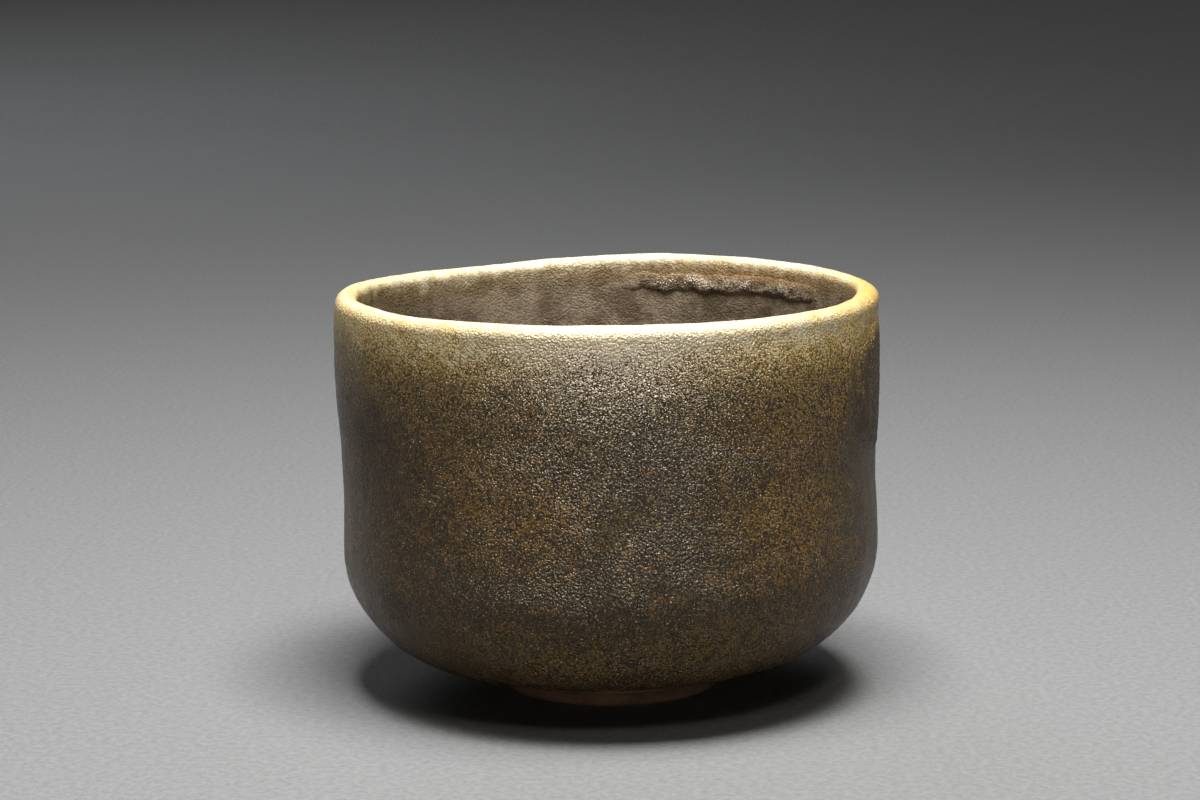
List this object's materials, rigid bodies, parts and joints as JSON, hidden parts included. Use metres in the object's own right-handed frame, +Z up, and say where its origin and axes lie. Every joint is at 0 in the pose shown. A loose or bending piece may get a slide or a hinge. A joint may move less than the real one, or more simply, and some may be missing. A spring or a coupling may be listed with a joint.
{
  "type": "tea bowl",
  "caption": "Hand-built half-cylinder tea bowl with upright walls, a wavy rounded lip, a round hip, a low foot ring and a mottled dark brown glaze that thins to honey at the lip.",
  "frame": {"origin": "on the table under the middle of the bowl's bounding box", "axes": "+Z up out of the bowl's mouth; +X towards the side where the second glaze coat runs down; -Y towards the front"},
  "size_m": [0.1182, 0.1172, 0.0876],
  "materials": {
    "clay": "fired red-brown stoneware clay, unglazed, fine grit",
    "foot_clay": "fired iron-dark clay of the foot, smoothed, dry matte",
    "dark_glaze": "semi-matte dark brown glaze with granular skin, mottled golden brown and grey",
    "inner_glaze": "semi-matte dark brown glaze, blotchy grey brown inside",
    "honey_glaze": "thin glossy honey to cream glaze over the lip",
    "curtain_glaze": "second, thicker coat of dark glaze with a rolled edge"
  },
  "bodies": {
    "root": {"clay_body": "clay", "foot_ring": "foot_clay", "outer_glaze": "dark_glaze", "inner_glaze": "inner_glaze", "lip_glaze": "honey_glaze", "curtain_glaze_outside": "curtain_glaze", "curtain_glaze_inside": "curtain_glaze"}
  },
  "joints": []
}
